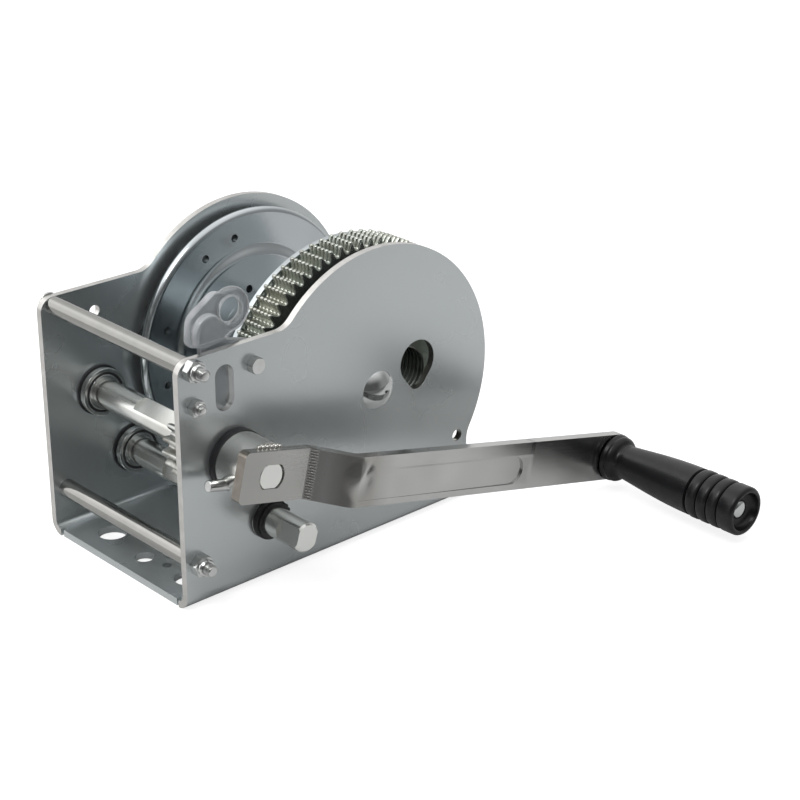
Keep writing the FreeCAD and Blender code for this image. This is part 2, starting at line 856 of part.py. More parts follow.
def make_arm():
    half = arm_width / 2
    far = arm_length + arm_end
    plan = [(-arm_heel, -half, arm_corner), (-arm_heel, half, arm_corner),
            (far, half, arm_end_round), (far, -half, arm_end_round)]
    y0, y1 = -arm_face - 1, -hub_face + arm_thick + 1
    solid = arm_side().common(rounded_prism(plan, y0, y1))
    solid = solid.cut(arm_panel())
    solid = solid.cut(cyl(arm_length, 0, y0, y1, pin_radius + bore_play))
    solid = in_place(solid)
    return solid.cut(flat_bore(upper_x, upper_z, y0, y1, crank_drop))


def make_crank_hub():
    y0 = -hub_face + arm_thick
    y1 = -crank_ring_y
    solid = ring(0, 0, y0, y1, crank_hub_radius, shaft_radius + bore_play)
    hole = Part.makeCylinder(screw_radius + bore_play,
                             crank_hub_radius + screw_back + 10,
                             V(screw_back + bore_play, -screw_y, -screw_drop),
                             V(-1, 0, 0))
    return in_place(solid.cut(hole))


def make_set_screw():
    solid = Part.makeCylinder(screw_radius, screw_front + screw_back,
                              V(screw_back, -screw_y, -screw_drop),
                              V(-1, 0, 0))
    return in_place(solid)


# The pin is riveted behind the arm and ends in a domed cap in the grip
def make_grip_pin():
    back = -arm_face + arm_thick
    cap = -arm_face - grip_play - grip_length + grip_recess_depth - grip_play
    r = pin_radius
    solid = lathe_y(arm_length, 0, [
        (0, cap - pin_cap_height), (pin_cap_radius * 0.6, cap - pin_cap_height + 0.3),
        (pin_cap_radius, cap - pin_cap_height + 1.2), (pin_cap_radius, cap),
        (r, cap), (r, back), (pin_head_radius, back),
        (pin_head_radius, back + pin_head_height), (0, back + pin_head_height)])
    return in_place(solid)


# Grip: a disc, a thin neck that swells towards the hand, rings and an end
def make_grip():
    y0 = -arm_face - grip_play
    y1 = y0 - grip_length
    r = grip_radius
    bore = pin_radius + 2 * bore_play
    swell = (grip_length - grip_rings * grip_ring_pitch
             - grip_knob - grip_groove)
    neck = y0 - grip_disc - grip_taper
    points = [(bore, y0), (r, y0), (r, y0 - grip_disc),
              (r - 0.7, y0 - grip_disc - 1), (r - 0.2, y0 - grip_disc - 3),
              (grip_neck, neck)]
    for share in (0.08, 0.26, 0.5, 0.74, 1.0):
        rise = math.sin(share * math.pi / 2) ** 1.1
        points.append((grip_neck + (r - grip_neck) * rise,
                       neck + (y0 - swell - neck) * share))
    y = y0 - swell - grip_groove
    for i in range(grip_rings + 1):
        length = grip_ring_pitch if i < grip_rings else y - y1
        top = r + grip_ring_height
        points += [(r - grip_groove, y), (top, y - grip_groove)]
        if i < grip_rings:
            points.append((top, y - length + grip_groove))
        else:
            points += [(top, y1 + grip_end_round),
                       (top - 0.3 * grip_end_round, y1 + 0.3 * grip_end_round),
                       (top - grip_end_round, y1)]
        y -= length
    floor = y1 + grip_recess_depth
    points += [(grip_recess_radius, y1), (grip_recess_radius, floor),
               (bore, floor)]
    return in_place(lathe_y(arm_length, 0, points))


def build():
    parts["frame"] = make_frame()
    make_tie("top", tie_top_z)
    make_tie("bottom", tie_low_z)
    for name, x, z in (("upper", upper_x, upper_z),
                       ("lower", lower_x, lower_z)):
        parts[name + "_bushing_near"] = make_bush(x, z, -1)
        parts[name + "_bushing_far"] = make_bush(x, z, 1)
        parts[name + "_seal_near"] = make_seal(x, z, -1)
        parts[name + "_seal_far"] = make_seal(x, z, 1)
    parts["upper_shaft"] = make_shaft(
        upper_x, upper_z, hub_face - 0.5, screw_y - screw_radius - 0.5,
        crank_drop, upper_flat_length, upper_flat_turn)
    parts["lower_shaft"] = make_shaft(
        lower_x, lower_z, out_y + lower_tip_length, out_y + lower_tip_flat,
        lower_flat_turn, lower_flat_length, lower_flat_turn)
    parts["high_pinion"] = make_pinion(upper_x, upper_z, high_teeth,
                                       upper_flat_turn)
    parts["low_pinion"] = make_pinion(lower_x, lower_z, low_teeth,
                                      lower_flat_turn)
    parts["ratchet_wheel"] = make_ratchet()
    bore = shaft_radius + bore_play
    collar_y = -out_y - crank_ring_gap
    parts["crank_seal"] = ring(upper_x, upper_z, -crank_ring_y, collar_y,
                               crank_ring_radius, bore)
    parts["lower_collar"] = ring(lower_x, lower_z, collar_y - collar_length,
                                 collar_y, collar_radius, bore)
    parts["lower_circlip"] = make_circlip()
    for i in range(sheets):
        parts["gear_sheet_%d" % (i + 1)] = gear_sheet(i)
    parts["gear_rivets"] = make_rivets()
    parts["drum_flange_near"] = make_near_flange()
    parts["drum_flange_far"] = make_far_flange()
    parts["drum_barrel"] = make_barrel()
    parts["drum_hub"] = make_hub()
    parts["drum_axle"] = make_axle()
    parts["axle_nut"] = make_nut(drum_x, drum_z, out_y,
                                 out_y + axle_nut_height, axle_nut_across,
                                 axle_radius + bore_play)
    parts["pawl"] = make_pawl()
    parts["pawl_lever"] = make_lever()
    make_bolts()
    parts["crank_arm"] = make_arm()
    parts["crank_hub"] = make_crank_hub()
    parts["set_screw"] = make_set_screw()
    parts["grip_pin"] = make_grip_pin()
    parts["grip"] = make_grip()


build()
os.makedirs("parts", exist_ok=True)
for node, shape in parts.items():
    shape.translate(V(-drum_x, 0, 0))
    shape.exportStep("parts/%s.step" % node)
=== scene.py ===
import json
import math

import bmesh
import bpy
from mathutils import Euler, Matrix, Vector


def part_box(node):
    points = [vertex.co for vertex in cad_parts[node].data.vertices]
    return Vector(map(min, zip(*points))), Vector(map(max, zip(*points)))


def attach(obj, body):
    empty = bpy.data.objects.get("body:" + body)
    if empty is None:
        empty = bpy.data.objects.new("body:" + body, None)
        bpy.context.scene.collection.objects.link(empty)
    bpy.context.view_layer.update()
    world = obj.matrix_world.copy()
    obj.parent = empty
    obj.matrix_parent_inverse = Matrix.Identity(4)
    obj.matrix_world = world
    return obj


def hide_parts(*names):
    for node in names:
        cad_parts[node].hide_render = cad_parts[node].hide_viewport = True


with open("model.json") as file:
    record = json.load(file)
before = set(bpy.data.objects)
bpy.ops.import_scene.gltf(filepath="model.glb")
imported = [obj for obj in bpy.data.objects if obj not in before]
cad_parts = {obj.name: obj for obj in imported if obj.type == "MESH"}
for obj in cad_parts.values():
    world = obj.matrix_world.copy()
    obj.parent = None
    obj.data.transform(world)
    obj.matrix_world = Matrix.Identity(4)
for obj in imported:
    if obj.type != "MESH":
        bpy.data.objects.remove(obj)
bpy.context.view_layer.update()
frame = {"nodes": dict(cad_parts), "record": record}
nodes = frame["nodes"]
scene = bpy.context.scene
mm = 0.001

# Studio: the winch stands on white and is seen from its front left corner, a
# little from above, with a long lens. The side behind the viewer is a darker
# room, which the plated steel shows in its reflections.
camera_data = bpy.data.cameras.new("camera")
camera_data.lens = 87.29
camera_data.sensor_width = 36.0
camera = bpy.data.objects.new("camera", camera_data)
camera.location = (-0.6385, -0.7673, 0.4952)
camera.rotation_euler = Euler([math.radians(a) for a in (66.429, -0.196, -42.742)])
scene.collection.objects.link(camera)
scene.camera = camera


class Value:
    """A number on its way into a socket; sums and products add Math nodes."""

    def __init__(self, net, socket):
        self.net = net
        self.socket = socket

    def calc(self, operation, *terms):
        return self.net.node("ShaderNodeMath", {"operation": operation}, *terms)

    def __add__(self, other):
        return self.calc("ADD", self, other)

    def __sub__(self, other):
        return self.calc("SUBTRACT", self, other)

    def __rsub__(self, other):
        return self.calc("SUBTRACT", other, self)

    def __mul__(self, other):
        return self.calc("MULTIPLY", self, other)

    def __truediv__(self, other):
        return self.calc("DIVIDE", self, other)

    __radd__ = __add__
    __rmul__ = __mul__


class Net:
    """A node tree; each node is added by its type, settings and inputs."""

    def __init__(self, tree):
        self.tree = tree

    def node(self, kind, settings=None, *terms, output=0, **named):
        node = self.tree.nodes.new(kind)
        for key, value in (settings or {}).items():
            setattr(node, key, value)
        for key, value in [*enumerate(terms), *named.items()]:
            slot = key if isinstance(key, int) else key.replace("_", " ")
            self.feed(node.inputs[slot], value)
        return Value(self, node.outputs[output])

    def feed(self, socket, value):
        if isinstance(value, Value):
            self.tree.links.new(value.socket, socket)
        elif isinstance(value, tuple) and len(value) < len(socket.default_value):
            socket.default_value = (*value, 1)
        else:
            socket.default_value = value


class Finish(Net):
    """One material, with the patterns that the winch's surfaces share."""

    def __init__(self, name, **inputs):
        self.material = bpy.data.materials.new(name)
        self.material.use_nodes = True
        super().__init__(self.material.node_tree)
        self.shader = self.tree.nodes["Principled BSDF"]
        self.set(**inputs)

    def set(self, **inputs):
        for key, value in inputs.items():
            self.feed(self.shader.inputs[key.replace("_", " ")], value)

    def spot(self, turn=0.0):
        place = self.node("ShaderNodeTexCoord", output=3)
        return self.node("ShaderNodeMapping", None, Vector=place, Rotation=(0, turn, 0))

    def along(self, axis, turn=0.0):
        return self.node("ShaderNodeSeparateXYZ", None, self.spot(turn), output=axis)

    def noise(self, scale, detail=4, size=(1, 1, 1), rough=0.55, turn=0.0):
        spot = self.node("ShaderNodeMapping", None, Vector=self.spot(turn), Scale=size)
        return self.node("ShaderNodeTexNoise", None, Vector=spot, Scale=scale,
                         Detail=detail, Roughness=rough)

    def mix(self, share, low, high):
        mixer = self.tree.nodes.new("ShaderNodeMix")
        mixer.data_type = "RGBA"
        for slot, value in ((0, share), (6, low), (7, high)):
            self.feed(mixer.inputs[slot], value)
        return Value(self, mixer.outputs[2])

    def spread(self, value, low, high, low_to=0.0, high_to=1.0):
        return self.node("ShaderNodeMapRange", {"clamp": True}, value,
                         low, high, low_to, high_to)

    def bump(self, height, strength, depth):
        return self.node("ShaderNodeBump", None, Height=height,
                         Strength=strength, Distance=depth)


floor_mesh = bpy.data.meshes.new("floor")
floor_mesh.from_pydata([(-4, -4, 0), (4, -4, 0), (4, 4, 0), (-4, 4, 0)], [], [(0, 1, 2, 3)])
floor = bpy.data.objects.new("floor", floor_mesh)
scene.collection.objects.link(floor)
paper = Finish("studio_paper", Roughness=0.9)
rays = [paper.node("ShaderNodeLightPath", output=name)
        for name in ("Is Camera Ray", "Is Transmission Ray", "Is Glossy Ray")]
seen = rays[0] + rays[1]
soft_step = {"clamp": True, "interpolation_type": "SMOOTHSTEP"}
# Painted shade: for glossy rays the floor's colour drops from 0.64 to 0.12 on the viewer's side,
# and the plated parts show this dark patch in their reflections. To the camera the floor stays
# white.
toward = paper.node("ShaderNodeVectorMath", {"operation": "DOT_PRODUCT"}, paper.spot(),
                    (-0.62, -0.78, 0), output=1)
mirrored = paper.node("ShaderNodeMapRange", soft_step, toward, 0.13, 0.36, 0.64, 0.12)
white = 0.60
shown = rays[2] * (mirrored - white) + white
unseen = paper.mix(shown, (0, 0, 0), (1, 1, 1))
paper.set(Base_Color=paper.mix(seen, unseen, (0.42, 0.42, 0.42)), Emission_Strength=1.0,
          Emission_Color=paper.mix(seen, (0, 0, 0), (0.80, 0.80, 0.80)))
floor_mesh.materials.append(paper.material)

world = bpy.data.worlds.new("studio")
scene.world = world
world.use_nodes = True
sky = Net(world.node_tree)
direction = sky.node("ShaderNodeTexCoord", output=0)


def glow(toward, low, high):
    """How far a direction points toward the given one."""
    share = sky.node("ShaderNodeVectorMath", {"operation": "DOT_PRODUCT"},
                     direction, toward, output=1)
    return sky.node("ShaderNodeMapRange", soft_step, share, low, high, 0.0, 1.0)


ceiling = glow((0, 0, 1), 0.35, 0.95)
viewer = glow((-0.60, -0.76, 0.25), 0.30, 0.80)
behind = glow((0.62, 0.78, 0.0), 0.10, 0.90)
side = glow((-0.58, 0.68, 0.45), 0.72, 0.96)
camera_ray = sky.node("ShaderNodeLightPath", output="Is Camera Ray")
room = ceiling * 0.80 + behind * 0.45 + side * 1.1 - viewer * 0.24 + 0.36
backdrop = world.node_tree.nodes["Background"]
sky.feed(backdrop.inputs["Color"], (1, 1, 1))
sky.feed(backdrop.inputs["Strength"], room * (1 - camera_ray) + camera_ray)

lamp_data = bpy.data.lights.new("key", "AREA")
lamp_data.size = 0.7
lamp_data.energy = 9
lamp = bpy.data.objects.new("key", lamp_data)
lamp.location = (-0.9, -0.2, 1.5)
aim = Vector((0, 0, 0.08)) - lamp.location
lamp.rotation_euler = aim.to_track_quat("-Z", "Y").to_euler()
scene.collection.objects.link(lamp)

# Frame: one 4 mm steel sheet, blanked, pierced and bent up to two side plates,
# then zinc plated. Its faces are smooth and bluish, with faint clouds, and its
# sheared edges are rounded and bright.
record = frame["record"]
home = {node: body for body, members in record["behaviour"]["bodies"].items()
        for node in members}


def applied(mesh, *steps):
    """The mesh after its modifiers, as a plain mesh."""
    holder = bpy.data.objects.new(mesh.name, mesh)
    scene.collection.objects.link(holder)
    for kind, settings in steps:
        step = holder.modifiers.new(kind.lower(), kind)
        for key, value in settings.items():
            if kind == "NODES" and key != "node_group":
                step[key] = value
            else:
                setattr(step, key, value)
    depsgraph = bpy.context.evaluated_depsgraph_get()
    result = bpy.data.meshes.new_from_object(holder.evaluated_get(depsgraph))
    bpy.data.objects.remove(holder)
    return result


def eased(mesh, width, segments=2, sharp=30):
    """Rounds the sharp edges and shades the rest smooth."""
    mesh.shade_smooth()
    bevel = {"width": width, "segments": segments, "limit_method": "ANGLE",
             "angle_limit": math.radians(sharp), "use_clamp_overlap": True}
    return applied(mesh, ("BEVEL", bevel), ("WEIGHTED_NORMAL", {"keep_sharp": True}))


def solid_of(node):
    """A copy of a node's solid with its triangles joined to whole faces."""
    shape = bmesh.new()
    shape.from_mesh(nodes[node].data)
    bmesh.ops.remove_doubles(shape, verts=shape.verts, dist=2e-6)
    bmesh.ops.dissolve_limit(shape, angle_limit=math.radians(0.6),
                             verts=shape.verts, edges=shape.edges)
    mesh = bpy.data.meshes.new(node + "_solid")
    shape.to_mesh(mesh)
    shape.free()
    return mesh


def keep(name, mesh, finish, *stands_for):
    """A finished piece, which rides on the body of the node that it replaces."""
    if mesh.materials:
        mesh.materials[0] = finish
    else:
        mesh.materials.append(finish)
    piece = bpy.data.objects.new(name, mesh)
    scene.collection.objects.link(piece)
    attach(piece, home[stands_for[0]])
    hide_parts(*stands_for)


def zinc(name, low, high, rough, cloud_size=24, metal=1.0):
    """Plated steel: soft clouds in its colour, and wider ones in its sheen."""
    finish = Finish(name, Metallic=metal)
    cloud = finish.spread(finish.noise(cloud_size, 2), 0.20, 0.80)
    sheen = finish.noise(7, 2)
    finish.set(Base_Color=finish.mix(cloud, low, high),
               Roughness=cloud * 0.02 + sheen * 0.05 + (rough - 0.03))
    return finish.material


sheet_zinc = zinc("frame_zinc", (0.57, 0.605, 0.61), (0.61, 0.64, 0.645), 0.27, metal=0.86)
sheared_zinc = zinc("sheared_zinc", (0.50, 0.49, 0.47), (0.70, 0.69, 0.67), 0.26, 140)
sheet = eased(solid_of("frame"), 0.5 * mm, 3)
sheet.materials.append(sheet_zinc)
sheet.materials.append(sheared_zinc)
base_edge = 6 * mm
for face in sheet.polygons:
    if abs(face.normal.y) < 0.5 and face.center.z > base_edge:
        face.material_index = 1
keep("frame_sheet", sheet, sheet_zinc, "frame")

# Bearings: four ball bearings pressed into the side plates from inside. Each
# has an inner and an outer ring, a dark shield between them, and a thin black
# seal ring between its lip and the plate. Its black is painted shade for the
# dark gap and the dim reflection of the ring in the plate.


def turned(name, x, z, profile, steps=96):
    """A solid turned about an axis along Y; the profile is radius and place."""
    shape = bmesh.new()
    rings = []
    for i in range(steps):
        a = 2 * math.pi * i / steps
        rings.append([shape.verts.new((x + r * math.cos(a), y, z + r * math.sin(a)))
                      for r, y in profile])
    count = len(profile)
    for i in range(steps):
        this, other = rings[i], rings[(i + 1) % steps]
        for j in range(count):
            shape.faces.new((this[j], this[(j + 1) % count],
                             other[(j + 1) % count], other[j]))
    bmesh.ops.remove_doubles(shape, verts=shape.verts, dist=1e-7)
    bmesh.ops.dissolve_degenerate(shape, dist=1e-7, edges=shape.edges)
    bmesh.ops.recalc_face_normals(shape, faces=shape.faces)
    mesh = bpy.data.meshes.new(name)
    shape.to_mesh(mesh)
    shape.free()
    return mesh


def arc(r, y, out, rise, degrees):
    """A quarter or half turn of a curve that starts at a radius and a place."""
    return [(r + out * math.sin(math.radians(t)), y + rise * (1 - math.cos(math.radians(t))))
            for t in degrees]


def axis_of(node):
    low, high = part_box(node)
    return (low.x + high.x) / 2, (low.z + high.z) / 2


def span_of(node):
    low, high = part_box(node)
    return low.y, high.y


def radius_of(node):
    low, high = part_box(node)
    return (high.z - low.z) / 2


bearing_steel = zinc("bearing_steel", (0.50, 0.51, 0.50), (0.62, 0.63, 0.62), 0.18, 90)
shield_black = Finish("bearing_shield", Base_Color=(0.022, 0.022, 0.024), Roughness=0.42)
black_rubber_and_painted_shade = Finish("black_rubber_and_painted_shade", Base_Color=(0.014, 0.014, 0.016))
dust = black_rubber_and_painted_shade.noise(260, 4)
black_rubber_and_painted_shade.set(Roughness=black_rubber_and_painted_shade.spread(dust, 0.3, 0.7, 0.38, 0.6),
                Normal=black_rubber_and_painted_shade.bump(dust, 0.2, 0.00004))
shaft_bore = 8.05 * mm
race = 2.0 * mm
groove_depth = 2.0 * mm
barrel = 11.0 * mm
for shaft in ("upper", "lower"):
    for side, sign in (("near", -1), ("far", 1)):
        node = shaft + "_bushing_" + side
        seal = shaft + "_seal_" + side
        x, z = axis_of(node)
        low, high = sorted(span_of(node), key=lambda y: y * sign)
        outer = radius_of(node)
        lip = min(span_of(seal), key=abs)
        groove = low + sign * groove_depth
        profile = [(shaft_bore, high), (shaft_bore, low), (shaft_bore + race, low),
                   (shaft_bore + race, groove), (outer - race, groove), (outer - race, low),
                   (outer, low), (outer, lip), (barrel, lip), (barrel, high)]
        rings = eased(turned(node, x, z, profile), 0.3 * mm)
        keep(node + "_rings", rings, bearing_steel, node)
        start, end = shaft_bore + race + 0.1 * mm, outer - race - 0.1 * mm
        foot, crown = low + sign * 0.6 * mm, low + sign * 0.4 * mm
        cover = [(start, foot), (start + 0.4 * mm, crown), (end - 0.4 * mm, crown),
                 (end, foot), (end, groove), (start, groove)]
        cover_mesh = eased(turned("shield", x, z, cover), 0.1 * mm)
        cover_mesh.materials.append(shield_black.material)
        shield = bpy.data.objects.new(node + "_shield", cover_mesh)
        scene.collection.objects.link(shield)
        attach(shield, home[node])
        # The seal ring is coloured black: painted shade for the gap and for the ring's
        # reflection in the plate.
        nodes[seal].data.materials.clear()
        nodes[seal].data.materials.append(black_rubber_and_painted_shade.material)

# Shafts: two turned bars side by side, bright between the bearings. Long flats
# milled on both sides carry the wheels inside, and short ones the crank.
# A keeper ring holds each bar behind the far plate.
shaft_steel = Finish("shaft_steel", Metallic=1.0)
turning = shaft_steel.noise(26, 3, size=(1, 50, 1))
stain = shaft_steel.spread(shaft_steel.noise(30, 2), 0.50, 0.80)
shaft_steel.set(
    Base_Color=shaft_steel.mix(stain, (0.82, 0.83, 0.80), (0.66, 0.65, 0.60)),
    Roughness=turning * 0.12 + stain * 0.04 + 0.15,
    Normal=shaft_steel.bump(turning, 0.06, 0.00002))
for shaft in ("upper", "lower"):
    node = shaft + "_shaft"
    keep(node + "_bar", eased(solid_of(node), 0.4 * mm), shaft_steel.material, node)


# Wheels: the two pinions and the ratchet wheel, cut from steel, hard edges
# broken, with a little dark oil left between their teeth.
def outward(points):
    """Unit normals of a closed outline that runs anticlockwise."""
    normals = []
    for i in range(len(points)):
        along = points[(i + 1) % len(points)] - points[i - 1]
        normals.append(Vector((along.y, -along.x)).normalized())
    return normals


def plate_of(name, outlines, y0, y1, ease):
    """A flat plate with rounded edges: the first outline is its rim."""
    shape = bmesh.new()
    ends = {y0: [], y1: []}
    walls = []
    for number, outline in enumerate(outlines):
        points = [Vector(p) for p in outline]
        side = 1 if number == 0 else -1
        normals = outward(points)
        levels = [(1.0, 0.0), (0.293, 0.293), (0.0, 1.0)]
        steps = [(inset, y0 + depth * ease) for inset, depth in levels]
        steps += [(inset, y1 - depth * ease) for inset, depth in reversed(levels)]
        rings = []
        for inset, y in steps:
            spots = [p - n * (inset * ease * side) for p, n in zip(points, normals)]
            rings.append([shape.verts.new((p.x, y, p.y)) for p in spots])
        for low, high in zip(rings, rings[1:]):
            for i in range(len(points)):
                j = (i + 1) % len(points)
                walls.append(shape.faces.new((low[i], low[j], high[j], high[i])))
        for y, ring in ((y0, rings[0]), (y1, rings[-1])):
            for i, vert in enumerate(ring):
                ends[y].append(shape.edges.get((vert, ring[(i + 1) % len(ring)])))
    for face in walls:
        face.smooth = True
    for y in (y0, y1):
        bmesh.ops.triangle_fill(shape, use_beauty=True, use_dissolve=False, edges=ends[y])
    bmesh.ops.recalc_face_normals(shape, faces=shape.faces)
    mesh = bpy.data.meshes.new(name)
    shape.to_mesh(mesh)
    shape.free()
    return mesh


def polar(x, z, radius, angle):
    return x + radius * math.cos(angle), z + radius * math.sin(angle)


def circle(x, z, radius, steps=48):
    return [polar(x, z, radius, 2 * math.pi * i / steps) for i in range(steps)]


def flat_hole(x, z, lean, half_flat=6.3 * mm):
    """The outline of a round hole with two flats, their normal at an angle."""
    points = []
    turn = math.radians(lean - 90)
    for u, round_v in circle(0, 0, shaft_bore):
        v = max(-half_flat, min(half_flat, round_v))
        points.append((x + u * math.cos(turn) - v * math.sin(turn),
                       z + u * math.sin(turn) + v * math.cos(turn)))
    return points


module = 2.18 * mm
pressure = math.radians(20)
gear_teeth = 72
play = 0.12 * mm
drum_x, drum_z = axis_of("drum_hub")
gear_turn = math.radians(3.17)


def involute(angle):
    return math.tan(angle) - angle


def toothed(x, z, teeth, turn, addendum, crest=0.35 * mm):
    """Involute teeth with round roots and rounded crests, as an outline."""
    pitch = module * teeth / 2
    base = pitch * math.cos(pressure)
    root = pitch - 1.25 * module
    tip = pitch + addendum * module
    start = math.pi / (2 * teeth) - play / pitch + involute(pressure)

    def half_angle(radius):
        return start - involute(math.acos(min(1.0, base / radius)))

    gap = math.pi / teeth - half_angle(max(root, base))
    round_root = min(root * gap, 0.5 * module)
    half = [(root, math.pi / teeth)]
    half += [(root + round_root * (1 - math.cos(math.radians(a))),
              math.pi / teeth - gap * math.sin(math.radians(a))) for a in (40, 75)]
    for share in (0.3, 0.6, 0.85):
        radius = root + (tip - root) * share
        half.append((radius, half_angle(radius)))
    at_tip = half_angle(tip)
    half += [(tip - crest, half_angle(tip - crest)),
             (tip - 0.25 * crest, at_tip - 0.2 * crest / tip),
             (tip, max(0.0, at_tip - crest / tip))]
    outline = []
    for i in range(teeth):
        middle = turn + 2 * math.pi * i / teeth
        outline += [(r, middle - a) for r, a in half]
        outline += [(r, middle + a) for r, a in reversed(half[1:])]
    return [polar(x, z, r, a) for r, a in outline]


def mesh_turn(x, z, teeth):
    """The turn at which a pinion's teeth stand in the gaps of the gear."""
    toward = math.atan2(z - drum_z, x - drum_x)
    offset = (toward - gear_turn) % (2 * math.pi / gear_teeth)
    return toward + math.pi + offset * gear_teeth / teeth + math.pi / teeth


def cut_steel(name, low, high, rough):
    finish = Finish(name, Metallic=1.0)
    oil = finish.spread(finish.noise(130, 4), 0.42, 0.68)
    grain = finish.noise(900, 2)
    finish.set(Base_Color=finish.mix(oil, high, low),
               Roughness=oil * 0.14 + grain * 0.08 + rough,
               Normal=finish.bump(grain, 0.15, 0.00003))
    return finish.material


wheel_steel = cut_steel("wheel_steel", (0.26, 0.25, 0.22), (0.52, 0.53, 0.51), 0.22)
for node, shaft, teeth, lean in (("high_pinion", "upper_shaft", 18, 112),
                                 ("low_pinion", "lower_shaft", 12, 163)):
    x, z = axis_of(shaft)
    rim = toothed(x, z, teeth, mesh_turn(x, z, teeth), 0.9)
    plate = plate_of(node, [rim, flat_hole(x, z, lean)], *span_of(node), 0.3 * mm)
    keep(node + "_wheel", plate, wheel_steel, node)
x, z = axis_of("upper_shaft")
low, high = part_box("ratchet_wheel")
outer = (high.x - low.x) / 2
saw_teeth = 12
saw = []
for i in range(saw_teeth):
    for radius, lead in ((outer, 0.0), (outer - 4 * mm, 0.04), (outer - 2.7 * mm, 0.2)):
        saw.append(polar(x, z, radius, 2 * math.pi * i / saw_teeth + lead))
ratchet = plate_of("ratchet", [saw, flat_hole(x, z, 112)], *span_of("ratchet_wheel"), 0.25 * mm)
keep("ratchet_wheel_plate", ratchet, wheel_steel, "ratchet_wheel")

# Drum: a hub tube, a barrel, a flat flange beside the gear, and a far flange
# pressed from sheet with a step and a rolled rim, pierced for the rope clamp.
drum_zinc = zinc("drum_zinc", (0.48, 0.515, 0.53), (0.54, 0.575, 0.59), 0.17, 30)
low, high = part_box("drum_flange_far")
y = low.y
rim = (high.x - low.x) / 2
bore = 10.05 * mm
thick = 3.0 * mm
roll = 3.2 * mm


def s_curve(r0, y0, r1, y1, steps=7):
    """A smooth step from one radius and place to the next."""
    points = []
    for i in range(steps + 1):
        t = i / steps
        ease = t * t * (3 - 2 * t)
        points.append((r0 + (r1 - r0) * t, y0 + (y1 - y0) * ease))
    return points


face = s_curve(48 * mm, y, 55 * mm, y + thick)
lip = arc(rim - roll, y + thick, roll, roll, range(0, 181, 20))
back = s_curve(53 * mm, y + 2 * thick, 46 * mm, y + thick)
profile = [(bore, y), *face, *lip, (rim - roll, y + 2 * thick + 0.1 * mm), *back,
           (bore, y + thick)]
flange = turned("far_flange", drum_x, drum_z, profile, 160)
cutters = bmesh.new()
clamp_hole = 2.3 * mm
for ring, degrees in ((61.5, 162.7), (61.5, 120.0), (61.5, 99.5), (61.5, -167.0), (30.0, 96.0)):
    x, z = polar(drum_x, drum_z, ring * mm, math.radians(degrees))
    spot = Matrix.Translation((x, y + thick, z)) @ Matrix.Rotation(math.radians(90), 4, "X")
    bmesh.ops.create_cone(cutters, cap_ends=True, segments=28, radius1=clamp_hole,
                          radius2=clamp_hole, depth=20 * mm, matrix=spot)
cutter_mesh = bpy.data.meshes.new("cutters")
cutters.to_mesh(cutter_mesh)
cutters.free()
cutter = bpy.data.objects.new("cutters", cutter_mesh)
scene.collection.objects.link(cutter)
drilling = {"object": cutter, "operation": "DIFFERENCE", "solver": "EXACT"}
flange = eased(applied(flange, ("BOOLEAN", drilling)), 0.25 * mm, sharp=50)
bpy.data.objects.remove(cutter)
keep("drum_flange_far_pressing", flange, drum_zinc, "drum_flange_far")
disc = eased(solid_of("drum_flange_near"), 0.6 * mm)
keep("drum_flange_near_disc", disc, drum_zinc, "drum_flange_near")
for node in ("drum_barrel", "drum_hub"):
    keep(node + "_tube", eased(solid_of(node), 0.3 * mm), drum_zinc, node)

# Ring gear: six stamped steel sheets side by side on the drum, 72 teeth in
# each. The press leaves the edges of every sheet rounded, so thin dark seams
# part the sheets and each crest shows a row of six bright spots.
gear_zinc = Finish("gear_zinc", Metallic=1.0)
low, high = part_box("gear_sheet_1")
grime = gear_zinc.spread(gear_zinc.noise(110, 3), 0.42, 0.72)
tint = gear_zinc.spread(gear_zinc.noise(26, 2), 0.35, 0.65)
clean = gear_zinc.mix(tint, (0.40, 0.43, 0.40), (0.50, 0.51, 0.46))
gear_zinc.set(Base_Color=gear_zinc.mix(grime * 0.5, clean, (0.20, 0.20, 0.16)),
              Roughness=grime * 0.10 + tint * 0.04 + 0.15)


